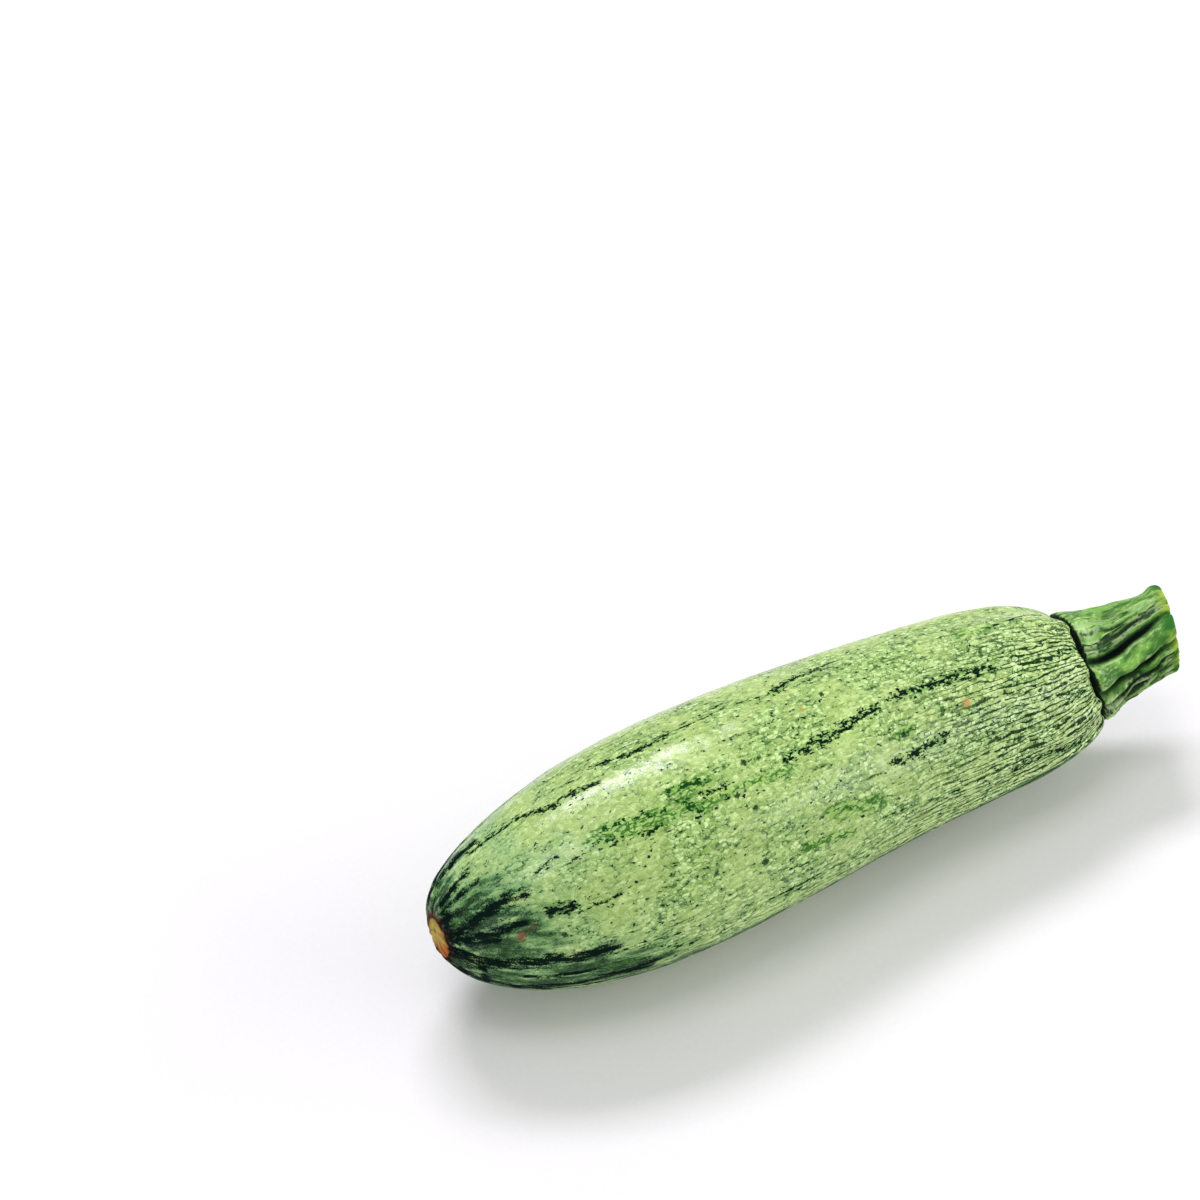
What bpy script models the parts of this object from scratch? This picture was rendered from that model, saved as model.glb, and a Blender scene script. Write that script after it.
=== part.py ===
"""A pale green zucchini as it is picked: the fruit and the cut stem that it hung from, lying on its side.

Lengths are in metres and +Z is up. The fruit lies along X, with its blossom scar towards -X and its stem towards
+X, on the plane z = 0, and the origin is under the middle of the whole.
"""

import math

import bmesh
import bpy
from mathutils import Matrix, Vector

MM = 0.001

# The fruit's outline from the middle of the blossom scar to the middle of the seat that the stem grows from:
# each point is the distance along the axis and the radius there, in millimetres.
SCAR_OUTLINE = ((0.5, 0.0), (0.9, 1.4), (0.8, 3.4), (0.1, 4.8), (0.35, 5.7))
BODY_OUTLINE = (
    (1.3, 7.6), (4.0, 11.0), (8.3, 14.3), (14.3, 17.4), (22.6, 20.7), (33, 23.4), (44.5, 25.2), (60, 26.0),
    (80, 25.6), (102, 24.3), (124, 22.9), (139.5, 21.9), (149.5, 20.6), (156, 18.9), (160, 17.0), (162.6, 14.9),
)
SEAT_OUTLINE = ((163.5, 13.3), (163.2, 12.0), (162.8, 10.4), (162.6, 5.5), (162.6, 0.0))
RINGS_PER_SPAN = 2
FRUIT_COLUMNS = 80

# The fruit's axis, which bows a little: distance along X, sideways along Y, height, in millimetres.
FRUIT_AXIS = (
    (0, -2.4, 26.8), (24, -3.7, 25.3), (49, -3.5, 25.4), (79, -2.1, 25.1), (109, -0.6, 23.8), (134, -1.2, 23.3),
    (151, -3.1, 23.7), (164, -5.2, 25.3),
)

# The seat isn't square to the axis: it reaches furthest near the underside, so that the stem looks up a little. The
# shoulder round it has low lobes: degrees round it, height in millimetres, half width in degrees.
SEAT_SLOPE = 0.15
SEAT_LONGEST_AT = math.radians(-50)
SEAT_LOBES = ((95, 1.9, 32), (185, 0.8, 26), (262, 0.9, 28))
SHOULDER_REACH = 30 * MM
SHOULDER_RADIUS = 16 * MM

# Ten shallow ribs of uneven width run from end to end, and two creases to a rib pucker both ends.
RIBS = 10
RIB_PHASE = math.radians(270)
UNEVENNESS = math.radians(5)
RIB_DEPTH = 0.30 * MM
RIB_DEPTH_AT_STEM = 0.75 * MM
CREASES = 20
CREASE_DEPTH_AT_SCAR = 0.75 * MM
CREASE_DEPTH_AT_STEM = 0.65 * MM
CREASE_REACH_FROM_SCAR = 17 * MM
CREASE_REACH_FROM_STEM = 26 * MM

# The stem's outline over its ridges: distance from the fruit's end and radius, in millimetres.
STEM_FOOT_OUTLINE = ((-1.05, 0.0), (-1.05, 6.0), (-1.0, 10.2), (-0.2, 12.3))
STEM_OUTLINE = ((0.4, 14.0), (2.0, 13.9), (4.5, 12.9), (8, 11.9), (12, 11.3), (17, 10.4), (21, 9.9), (22.9, 9.9))
STEM_RIM_OUTLINE = ((23.7, 9.3), (23.6, 8.2), (23.0, 6.6), (22.7, 3.4), (21.5, 2.0), (20.9, 0.0))
STEM_LENGTH = 23.7 * MM
STEM_COLUMNS = 72
STEM_BEND_UP = math.radians(10)
STEM_TWIST = math.radians(22)

# The stem's furrows at its foot: degrees round it, depth as a share of the radius, half width in degrees. Those
# with a depth below zero are swellings.
FURROWS = (
    (11, 0.36, 9), (58, 0.44, 10), (84, 0.07, 6), (107, 0.12, 7), (128, -0.04, 22), (145, 0.22, 9), (181, 0.14, 9),
    (216, 0.34, 11), (256, 0.15, 9), (297, 0.30, 10), (325, 0.06, 20), (332, 0.13, 7), (350, 0.10, 5),
)
NOTCH_DEPTH = 4.0 * MM

# The cut slopes: the stem is longest towards this side. One ridge ends in a small knob.
CUT_SLOPE = 0.25
CUT_LONGEST_AT = math.radians(137)
KNOB_AT = math.radians(134)
KNOB_HALF_WIDTH = math.radians(11)
KNOB_HEIGHT = 1.3 * MM
KNOB_REACH = 1.7 * MM


def clear_scene():
    """Empties the file that the script is run in."""
    for thing in list(bpy.data.objects):
        bpy.data.objects.remove(thing)


def smooth_path(points, steps):
    """Points on a Catmull-Rom curve through the given ones, with this many steps from each to the next."""
    points = [Vector(p) for p in points]
    ends = [2 * points[0] - points[1], *points, 2 * points[-1] - points[-2]]
    path = []
    for before, start, stop, after in zip(ends, ends[1:], ends[2:], ends[3:]):
        for step in range(steps):
            t = step / steps
            path.append(
                start
                + 0.5 * t * (stop - before)
                + t * t * (before - 2.5 * start + 2 * stop - 0.5 * after)
                + t * t * t * (1.5 * start - 1.5 * stop + 0.5 * after - 0.5 * before)
            )
    return [*path, points[-1]]


AXIS_PATH = [p * MM for p in smooth_path(FRUIT_AXIS, 12)]


def fruit_frame(distance):
    """A frame on the fruit's axis at this distance along X: its X faces the front, its Y up, and its Z the stem."""
    last = len(AXIS_PATH) - 1
    index = min(max(sum(p.x <= distance for p in AXIS_PATH) - 1, 0), last - 1)
    near = AXIS_PATH[max(index - 1, 0)]
    far = AXIS_PATH[min(index + 2, last)]
    along = (far - near).normalized()
    start, stop = AXIS_PATH[index], AXIS_PATH[index + 1]
    centre = start.lerp(stop, (distance - start.x) / (stop.x - start.x))
    front = along.cross(Vector((0, 0, 1))).normalized()
    upward = front.cross(along).normalized()
    turn = Matrix((front, upward, along)).transposed().to_4x4()
    return Matrix.Translation(centre) @ turn


def stem_frame(distance):
    """A frame on the stem's axis, which leaves the fruit squarely and bends as it goes."""
    foot = fruit_frame(FRUIT_AXIS[-1][0] * MM)
    share = distance / STEM_LENGTH
    half_tilt = Matrix.Rotation(-STEM_BEND_UP * share / 2, 4, "X")
    return foot @ half_tilt @ Matrix.Translation((0, 0, distance)) @ half_tilt


def fade(distance, reach):
    """1 at an end, 0 from this reach on, and smooth between."""
    share = min(max(distance / reach, 0.0), 1.0)
    return (1 - share) ** 2


def fruit_radius(distance, radius, angle):
    """The radius at this angle, where ribs and creases change the plain outline's."""
    to_stem = BODY_OUTLINE[-1][0] * MM - distance
    near_stem = fade(to_stem, 2 * CREASE_REACH_FROM_STEM)
    rib = RIB_DEPTH + (RIB_DEPTH_AT_STEM - RIB_DEPTH) * near_stem
    crease = CREASE_DEPTH_AT_SCAR * fade(distance, CREASE_REACH_FROM_SCAR) + CREASE_DEPTH_AT_STEM * fade(
        to_stem, CREASE_REACH_FROM_STEM
    )
    shown = min(radius / (SCAR_OUTLINE[-1][1] * MM), 1.0) ** 2
    turned = angle - RIB_PHASE + UNEVENNESS * (math.sin(3 * angle) + math.sin(2 * angle + 1.3))
    wave = 0.5 * math.cos(RIBS * turned) - 0.5
    valley = 0.5 - 0.5 * math.cos(CREASES * turned)
    return radius + shown * (rib * wave - crease * valley**2)


def seat_rise(radius, angle):
    """How far a point of the fruit's shoulder lies off its ring's plane."""
    lobes = 0.0
    for degrees, height, half_width in SEAT_LOBES:
        apart = math.remainder(angle - math.radians(degrees), math.tau)
        lobes += height * MM * math.exp(-((apart / math.radians(half_width)) ** 2))
    return SEAT_SLOPE * radius * math.cos(angle - SEAT_LONGEST_AT) + lobes * radius / (SEAT_OUTLINE[0][1] * MM)


def furrow_depth(share, angle):
    """How deep the stem is cut in at this angle, as a share of its radius, at this share of its length."""
    turned = angle - STEM_TWIST * share**1.7
    deep = 0.55 + 0.45 * math.sin(math.pi * min(share * 1.15, 1.0))
    cut = 0.0
    for degrees, depth, half_width in FURROWS:
        apart = math.remainder(turned - math.radians(degrees), math.tau)
        cut += depth * deep * math.exp(-((apart / math.radians(half_width)) ** 2))
    return cut


def stem_radius(distance, radius, angle):
    """The stem's radius at this angle, between its ridges and furrows, with the knob near the cut."""
    cut = furrow_depth(min(max(distance / STEM_LENGTH, 0.0), 1.0), angle)
    off = math.remainder(angle - KNOB_AT, math.tau) / KNOB_HALF_WIDTH
    knob = KNOB_HEIGHT * math.exp(-(off**2)) * math.exp(-(((distance - STEM_LENGTH) / KNOB_REACH) ** 2))
    shown = min(radius / (STEM_OUTLINE[0][1] * MM), 1.0)
    return radius * (1 - cut * shown) + knob * shown


def stem_rise(share, radius, angle):
    """How far a point of the stem lies off its ring's plane: it follows the seat, then the cut, notched at furrows."""
    cut = CUT_SLOPE * share**2 * radius * math.cos(angle - CUT_LONGEST_AT)
    notch = NOTCH_DEPTH * share**8 * furrow_depth(share, angle) * radius / (STEM_OUTLINE[-1][1] * MM)
    return (1 - share) ** 2 * seat_rise(radius, angle) + cut - notch


def loft(name, rings):
    """A closed mesh object through rings of as many points each, where a ring of one point closes an end."""
    mesh = bmesh.new()
    made = [[mesh.verts.new(p) for p in ring] for ring in rings]
    for here, there in zip(made, made[1:]):
        count = max(len(here), len(there))
        for i in range(count):
            j = (i + 1) % count
            if len(here) == 1:
                mesh.faces.new((here[0], there[j], there[i]))
            elif len(there) == 1:
                mesh.faces.new((here[i], here[j], there[0]))
            else:
                mesh.faces.new((here[i], here[j], there[j], there[i]))
    bmesh.ops.recalc_face_normals(mesh, faces=mesh.faces)
    data = bpy.data.meshes.new(name)
    mesh.to_mesh(data)
    mesh.free()
    data.shade_smooth()
    thing = bpy.data.objects.new(name, data)
    bpy.context.scene.collection.objects.link(thing)
    return thing


def ring_points(frame, radius_at, rise_at, columns):
    """The points of one ring, at even angles counted from the front and over the top."""
    points = []
    for column in range(columns):
        angle = math.tau * column / columns
        radius = radius_at(angle)
        points.append(frame @ Vector((radius * math.cos(angle), radius * math.sin(angle), rise_at(radius, angle))))
    return points


def fruit():
    """The fruit: scar, ribbed and puckered skin, and the seat of the stem, with a small flat spot underneath."""
    outline = [*smooth_path(SCAR_OUTLINE, 1)[:-1], *smooth_path((SCAR_OUTLINE[-1], *BODY_OUTLINE), RINGS_PER_SPAN)]
    outline += [Vector(p) for p in SEAT_OUTLINE]
    rings = []
    for distance, radius in outline:
        distance, radius = distance * MM, radius * MM
        frame = fruit_frame(distance)
        if radius == 0:
            rings.append([frame.translation])
            continue
        shoulder = fade(BODY_OUTLINE[-1][0] * MM - distance, SHOULDER_REACH)
        points = ring_points(
            frame,
            lambda angle: fruit_radius(distance, radius, angle),
            lambda reach, angle: shoulder * seat_rise(min(reach, SHOULDER_RADIUS), angle),
            FRUIT_COLUMNS,
        )
        rings.append([Vector((p.x, p.y, max(p.z, 0.0))) for p in points])
    return loft("fruit", rings)


def stem():
    """The stem: ridged, flared at its foot, twisted a little, and cut on a slope with a hollow pith."""
    outline = [Vector(p) for p in STEM_FOOT_OUTLINE]
    outline += smooth_path((*STEM_OUTLINE, STEM_RIM_OUTLINE[0]), 3)
    outline += [Vector(p) for p in STEM_RIM_OUTLINE[1:]]
    rings = []
    for distance, radius in outline:
        distance, radius = distance * MM, radius * MM
        frame = stem_frame(distance)
        if radius == 0:
            rings.append([frame.translation])
            continue
        share = min(max(distance / STEM_LENGTH, 0.0), 1.0)
        rings.append(
            ring_points(
                frame,
                lambda angle: stem_radius(distance, radius, angle),
                lambda reach, angle: stem_rise(share, reach, angle),
                STEM_COLUMNS,
            )
        )
    return loft("stem", rings)


def give_material(thing, name, colour, roughness):
    """One plain Principled material for the whole piece."""
    material = bpy.data.materials.new(name)
    material.use_nodes = True
    shader = material.node_tree.nodes["Principled BSDF"]
    shader.inputs["Base Color"].default_value = (*colour, 1)
    shader.inputs["Roughness"].default_value = roughness
    shader.inputs["Metallic"].default_value = 0.0
    thing.data.materials.append(material)


def centre_over_origin(things):
    """Moves the whole sideways, so that the origin is under the middle of its box."""
    corners = [v.co for thing in things for v in thing.data.vertices]
    middle_x = (min(c.x for c in corners) + max(c.x for c in corners)) / 2
    middle_y = (min(c.y for c in corners) + max(c.y for c in corners)) / 2
    for thing in things:
        thing.data.transform(Matrix.Translation((-middle_x, -middle_y, 0)))


clear_scene()
zucchini_fruit = fruit()
zucchini_stem = stem()
centre_over_origin((zucchini_fruit, zucchini_stem))
give_material(zucchini_fruit, "pale_green_skin", (0.40, 0.56, 0.20), 0.38)
give_material(zucchini_stem, "stem_green", (0.16, 0.33, 0.05), 0.45)
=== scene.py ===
import math
import random

import bpy
import numpy as np
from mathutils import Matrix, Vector, noise


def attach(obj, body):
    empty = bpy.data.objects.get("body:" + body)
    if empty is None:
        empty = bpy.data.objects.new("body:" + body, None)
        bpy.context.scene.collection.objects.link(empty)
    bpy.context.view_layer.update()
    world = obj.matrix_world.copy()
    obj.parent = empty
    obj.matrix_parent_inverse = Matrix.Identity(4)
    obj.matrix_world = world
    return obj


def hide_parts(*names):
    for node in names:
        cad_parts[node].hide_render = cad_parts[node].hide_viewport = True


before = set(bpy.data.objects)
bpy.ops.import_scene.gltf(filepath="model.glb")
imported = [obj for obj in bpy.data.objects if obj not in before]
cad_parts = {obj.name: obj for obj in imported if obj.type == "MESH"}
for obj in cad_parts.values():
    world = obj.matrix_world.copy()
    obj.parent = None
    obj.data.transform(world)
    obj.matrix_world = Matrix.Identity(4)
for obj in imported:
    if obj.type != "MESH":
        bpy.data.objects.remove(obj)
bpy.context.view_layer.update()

# The body of the fruit: one swollen piece of flesh under a thin waxy skin. It grew away from the stem, so its
# ribs run from end to end and the skin puckers at the blossom scar and round the seat of the stem.

MM = 0.001

# The outline from the middle of the blossom scar to the middle of the stem's seat: distance along the axis
# and radius, in millimetres.
SCAR_OUTLINE = ((0.1, 0.0), (0.3, 0.9), (0.45, 2.2), (0.2, 3.7), (0.35, 4.8), (0.6, 5.7))
BODY_OUTLINE = (
    (1.3, 7.6), (4.0, 11.0), (8.3, 14.3), (14.3, 17.4), (22.6, 20.7), (33, 23.4), (44.5, 25.2), (60, 26.0),
    (80, 25.6), (102, 24.3), (124, 22.9), (139.5, 21.9), (149.5, 20.6), (156, 18.9), (160, 17.0),
    (162.6, 14.9),
)
SEAT_OUTLINE = ((163.5, 13.3), (163.2, 12.0), (162.8, 10.4), (162.6, 5.5), (162.6, 0.0))
FRUIT_COLUMNS = 60
RING_SPACING = math.tau / FRUIT_COLUMNS
CLOSEST_RINGS = 0.7

# The axis bows a little: X from the blossom tip on, Y and height, in millimetres. The last pair is the part's
# origin in the same X and Y.
FRUIT_AXIS = (
    (0, -2.4, 26.8), (24, -3.7, 25.3), (49, -3.5, 25.4), (79, -2.1, 25.1), (109, -0.6, 23.8),
    (134, -1.2, 23.3), (151, -3.1, 23.7), (164, -5.2, 25.3),
)
TIP_BEHIND_ORIGIN = (94.87, -2.83)

# Ten shallow ribs, and two creases to a rib at both ends. Degrees are counted from the front, over the top.
RIBS = 10
RIB_PHASE = math.radians(270)
UNEVENNESS = math.radians(5)
RIB_DEPTH = 0.30
RIB_DEPTH_AT_STEM = 0.75
CREASES = 20
CREASE_DEPTH_AT_SCAR = 0.3
CREASE_DEPTH_AT_STEM = 0.3
CREASE_REACH_FROM_SCAR = 17
CREASE_REACH_FROM_STEM = 26

# The shoulder leans with the seat of the stem and has low lobes: degrees, height in millimetres, half width.
SEAT_SLOPE = 0.15
SEAT_LONGEST_AT = math.radians(-50)
SEAT_LOBES = ((95, 1.9, 32), (185, 0.8, 26), (262, 0.9, 28))
SHOULDER_REACH = 30
SHOULDER_RADIUS = 16

# The relief fades out between these two radii, because the scar has a relief of its own. It is corky: small
# lumps inside the last radius.
PLAIN_INSIDE = 3
FULL_OUTSIDE = 9
SCAR_REACH = 6
CORK_DEPTH = 0.09
CORK_LUMP = 0.9
CORK_RADIUS = 5

# Folds that run out from the scar: degrees, depth, half width in degrees, and reach. Depth and reach are in
# millimetres. The folds wander to the sides by a few degrees, and spread where the fruit is thin.
FOLDS = (
    (7, 1.1, 6, 34), (-13, 0.9, 5, 34), (-30, 0.6, 4, 22), (23, 0.4, 4, 14), (40, 0.9, 6, 22),
    (63, 1.0, 7, 26), (82, 0.5, 5, 18), (99, 0.5, 4, 20), (118, 0.8, 5, 22), (139, 0.5, 5, 22),
    (157, 0.9, 6, 28), (178, 0.5, 4, 18), (196, 0.9, 6, 26), (221, 0.6, 5, 20), (240, 0.9, 6, 28),
    (262, 0.5, 4, 18), (281, 1.0, 6, 26), (306, 0.7, 5, 22),
)
FOLD_WANDER = 2.5
FOLD_WANDER_LENGTH = 4
FOLD_SPREAD = 5

# Rows of fine wrinkles run the same way, a few to the centimetre. They are deepest where they meet the stem,
# weak on the smooth top, given by its degrees and half width, and stronger again underneath.
ROW_WIDTH = 2.3
ROW_LENGTH = 34
ROW_DEPTH = 0.16
ROW_LINE = 0.24
ROW_GIRTH = 1.6 * SEAT_OUTLINE[0][1]
ROW_REACH_FROM_STEM = 70
SMOOTH_TOP = (118, 36)
SMOOTH_TOP_SHARE = 0.85
UNDERNEATH_SHARE = 0.45
UNDERNEATH_FROM_SCAR = 60

# Low dents all over: depth and width in millimetres, and the noise's number.
DENTS = ((0.16, 9.0, 1), (0.06, 3.2, 2))

# The skin lies this much inside its outline, so that no relief stands out past the size of the fruit.
SHRINK = 0.06


def smooth_path(points, spacing_at):
    """Points on a Catmull-Rom curve through these, as far apart as spacing_at says for each stretch."""
    points = np.array(points, float)
    ends = np.vstack((2 * points[0] - points[1], points, 2 * points[-1] - points[-2]))
    path = []
    for before, start, stop, after in zip(ends, ends[1:], ends[2:], ends[3:]):
        steps = max(1, round(np.linalg.norm(stop - start) / spacing_at(0.5 * (start + stop))))
        for t in np.arange(steps) / steps:
            path.append(
                start
                + 0.5 * t * (stop - before)
                + t * t * (before - 2.5 * start + 2 * stop - 0.5 * after)
                + t * t * t * (1.5 * start - 1.5 * stop + 0.5 * after - 0.5 * before)
            )
    return np.array([*path, points[-1]])


def write_attribute(piece, name, values):
    """Keeps one number or one vector for each vertex."""
    vector = values.ndim == 2
    attribute = piece.data.attributes.new(name, "FLOAT_VECTOR" if vector else "FLOAT", "POINT")
    attribute.data.foreach_set("vector" if vector else "value", values.astype(np.float32).ravel())


def turned_piece(name, outline, columns):
    """Draws an outline beside the X axis, spins it into a closed skin and rounds it by subdivision.

    The attribute "along" says how far along the outline a vertex lies, in millimetres.
    """
    bpy.ops.object.select_all(action="DESELECT")
    bpy.ops.mesh.primitive_plane_add(size=MM)
    piece = bpy.context.object
    piece.name = piece.data.name = name
    points = [Vector((distance, 0, radius)) * MM for distance, radius in outline]
    bpy.ops.object.mode_set(mode="EDIT")
    bpy.ops.mesh.merge(type="CENTER")
    bpy.ops.transform.translate(value=points[0])
    for here, there in zip(points, points[1:]):
        bpy.ops.mesh.extrude_region_move(TRANSFORM_OT_translate={"value": there - here})
    bpy.ops.mesh.select_all(action="SELECT")
    bpy.ops.mesh.spin(steps=columns, angle=math.tau, center=(0, 0, 0), axis=(1, 0, 0))
    bpy.ops.mesh.select_all(action="SELECT")
    bpy.ops.mesh.remove_doubles(threshold=0.001 * MM)
    bpy.ops.mesh.normals_make_consistent(inside=False)
    bpy.ops.object.mode_set(mode="OBJECT")
    travelled = np.concatenate(([0], np.cumsum(np.linalg.norm(np.diff(outline, axis=0), axis=1))))
    turned = np.array([(v.co.x, math.hypot(v.co.y, v.co.z)) for v in piece.data.vertices]) / MM
    apart = np.linalg.norm(turned[:, None] - np.asarray(outline)[None], axis=2)
    write_attribute(piece, "along", travelled[apart.argmin(axis=1)])
    rounding = piece.modifiers.new("rounding", "SUBSURF")
    rounding.levels = rounding.render_levels = 2
    bpy.ops.object.modifier_apply(modifier=rounding.name)
    bpy.ops.object.shade_smooth()
    return piece


def read_values(piece):
    """The piece's points in millimetres, its normals, and how far along the outline each point lies."""
    count = len(piece.data.vertices)
    points, normals, along = np.zeros(3 * count), np.zeros(3 * count), np.zeros(count)
    piece.data.vertices.foreach_get("co", points)
    piece.data.vertex_normals.foreach_get("vector", normals)
    piece.data.attributes["along"].data.foreach_get("value", along)
    return points.reshape(-1, 3) / MM, normals.reshape(-1, 3), along


def write_points(piece, points):
    """Puts the piece's vertices at these points, given in millimetres."""
    piece.data.vertices.foreach_set("co", (points * MM).ravel())
    piece.data.update()


def fade(distance, reach):
    """1 at an end, 0 from this reach on, and smooth between."""
    return (1 - np.clip(distance / reach, 0, 1)) ** 2


def bell(angle, degrees, half_width):
    """A smooth hump round one direction."""
    apart = np.angle(np.exp(1j * (angle - np.radians(degrees))))
    return np.exp(-((apart / np.radians(half_width)) ** 2))


def lumps(points, size, seed):
    """Smooth noise from -1 to 1 with lumps of this size in millimetres."""
    shift = Vector((seed * 17.3, seed * -9.1, seed * 5.7))
    return np.array([noise.noise(Vector(p) / size + shift) for p in points])


def seat_rise(radius, angle):
    """How far a point of the shoulder, or of the stem's foot on it, lies off its ring's plane."""
    rise = SEAT_SLOPE * radius * np.cos(angle - SEAT_LONGEST_AT)
    for degrees, height, half_width in SEAT_LOBES:
        rise = rise + height * bell(angle, degrees, half_width) * radius / SEAT_OUTLINE[0][1]
    return rise


AXIS_PATH = smooth_path(FRUIT_AXIS, lambda point: 2)


def fruit_frames(distance):
    """The axis's point at each distance along X, and its directions to the front, up and to the stem."""
    centre = np.stack([np.interp(distance, AXIS_PATH[:, 0], AXIS_PATH[:, i]) for i in range(3)], axis=-1)
    centre[..., 0] = distance
    slopes = np.gradient(AXIS_PATH, axis=0)
    along = np.stack([np.interp(distance, AXIS_PATH[:, 0], slopes[:, i]) for i in range(3)], axis=-1)
    along /= np.linalg.norm(along, axis=-1, keepdims=True)
    front = np.cross(along, (0, 0, 1))
    front /= np.linalg.norm(front, axis=-1, keepdims=True)
    return centre, front, np.cross(front, along), along


fruit_outline = np.vstack((
    SCAR_OUTLINE[:-1],
    smooth_path((SCAR_OUTLINE[-1], *BODY_OUTLINE), lambda point: max(RING_SPACING * point[1], CLOSEST_RINGS)),
    SEAT_OUTLINE,
))
fruit = turned_piece("zucchini_fruit", fruit_outline, FRUIT_COLUMNS)
plain, outward, fruit_along = read_values(fruit)
fruit_distance = plain[:, 0]
fruit_angle = np.arctan2(plain[:, 2], -plain[:, 1])
fruit_radius = np.hypot(plain[:, 1], plain[:, 2])

# The relief of the skin, in millimetres along its normal: ribs, creases, folds, rows of wrinkles and low dents.
to_stem = BODY_OUTLINE[-1][0] - fruit_distance
rib_depth = RIB_DEPTH + (RIB_DEPTH_AT_STEM - RIB_DEPTH) * fade(to_stem, 2 * CREASE_REACH_FROM_STEM)
turned = fruit_angle - RIB_PHASE + UNEVENNESS * (np.sin(3 * fruit_angle) + np.sin(2 * fruit_angle + 1.3))
crease_depth = CREASE_DEPTH_AT_SCAR * fade(fruit_distance, CREASE_REACH_FROM_SCAR)
crease_depth = crease_depth + CREASE_DEPTH_AT_STEM * fade(to_stem, CREASE_REACH_FROM_STEM)
valley = 0.5 - 0.5 * np.cos(CREASES * turned)
on_skin = np.clip((fruit_radius - PLAIN_INSIDE) / (FULL_OUTSIDE - PLAIN_INSIDE), 0, 1)
relief = rib_depth * (0.5 * np.cos(RIBS * turned) - 0.5) - crease_depth * valley**2
fold = np.zeros_like(relief)
from_scar = fruit_along - SCAR_REACH
for degrees, depth, half_width, reach in FOLDS:
    wander = FOLD_WANDER * np.sin(fruit_along / FOLD_WANDER_LENGTH + degrees)
    width = half_width * (0.7 + FOLD_SPREAD / np.maximum(fruit_radius, 4))
    here = bell(fruit_angle, degrees + wander, width) * fade(from_scar, reach)
    fold = np.maximum(fold, depth * here)
row_place = np.stack((ROW_GIRTH * np.cos(fruit_angle), ROW_GIRTH * np.sin(fruit_angle)), axis=1) / ROW_WIDTH
row = lumps(np.column_stack((row_place, fruit_along / ROW_LENGTH)), 1.0, 3)
at_stem = np.clip(1 - to_stem / ROW_REACH_FROM_STEM, 0, 1)
rough = 1 - SMOOTH_TOP_SHARE * bell(fruit_angle, *SMOOTH_TOP)
underneath = np.clip(0.5 - np.sin(fruit_angle), 0, 1) * np.clip(from_scar / UNDERNEATH_FROM_SCAR, 0, 1)
row_share = np.clip((0.1 + at_stem) * rough + UNDERNEATH_SHARE * underneath, 0, 1)
relief -= ROW_DEPTH * row_share * np.clip(1 - np.abs(row) / ROW_LINE, 0, 1)
for depth, width, number in DENTS:
    relief += depth * lumps(plain, width, number)
relief -= fold + SHRINK
cork = CORK_DEPTH * (np.abs(lumps(plain, CORK_LUMP, 8)) - 1) * np.clip(CORK_RADIUS - fruit_radius, 0, 1)

write_points(fruit, plain + outward * (relief * on_skin + cork)[:, None])
shaped, _, _ = read_values(fruit)
offset_x = shaped[:, 0] - fruit_distance
off_axis = np.hypot(shaped[:, 1], shaped[:, 2])
shoulder = fade(to_stem, SHOULDER_REACH)
rise = offset_x + shoulder * seat_rise(np.minimum(off_axis, SHOULDER_RADIUS), fruit_angle)
centre, front, up, ahead = fruit_frames(fruit_distance)
placed = centre - shaped[:, 1:2] * front + shaped[:, 2:3] * up + rise[:, None] * ahead
placed -= np.array((*TIP_BEHIND_ORIGIN, 0))
placed[:, 2] = np.maximum(placed[:, 2], 0)
write_points(fruit, placed)

# The colour of the skin: rows of pale cells in a net of darker green, which is finest and darkest near the
# stem. Dark streaks follow the ribs, the blossom end is deep green, and the scar is dry and ochre.

# Marks on the side seen first: half width in millimetres, then places as (millimetres along, degrees).
LINES_AND_UNDERSIDE_SHADE = (
    (0.9, (20, 114), (26, 110), (33, 109), (41, 99)),
    (0.8, (41, 99), (46, 102), (52, 96)),
    (0.7, (44, 111), (51, 106)),
    (0.9, (54, 110), (60, 105), (66, 103), (72, 105)),
    (0.8, (67, 106), (76, 105), (88, 106), (97, 102)),
    (0.7, (76, 108), (88, 111)),
    (0.6, (104, 108), (114, 111), (123, 112)),
    (0.7, (90, 64), (96, 63), (105, 66), (116, 69)),
    (0.7, (97, 61), (104, 64)),
    (0.7, (114, 40), (123, 40), (131, 42)),
    (0.7, (81, 71), (85, 71)),
    (0.5, (70, 65), (76, 64)),
    (0.6, (73.5, 59), (76, 58)),
    (0.8, (38, 36), (46, 38)),
    (0.6, (38.5, 65), (44, 64), (48.5, 61)),
    (0.7, (83, 12), (88, 10), (93, 6)),
    (0.7, (82, -6), (88, -6)),
    (0.8, (39, 8), (50, 0), (60, -12)),
    (0.6, (41, 17), (51, 13)),
    (0.6, (46, 6), (56, 3)),
    # The next two run along the underside: partly dark streaks, partly painted shade of the lower edge.
    (1.5, (16, -34), (32, -31), (50, -29), (80, -27)),
    (1.1, (88, -26), (120, -25), (160, -27)),
    (1.5, (8, -1), (14, 6), (24, 8), (31, 9)),
    (0.8, (31, -9), (47, -8), (61, -9)),
    (0.7, (76, -3), (92, -3), (114, -7), (133, -7)),
    (0.6, (108, 14), (132, 7), (146, 9)),
    (0.9, (23, 59), (26, 62)),
    (0.9, (30, 67), (36, 70)),
    (0.8, (153, 97), (160, 101), (172, 112)),
    (0.8, (162, 42), (167, 38), (173, 33)),
    (0.7, (168, 67), (178, 72)),
    (0.6, (122, 74), (133, 72), (150, 70)),
    (0.6, (131, 69), (148, 67)),
)
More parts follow.
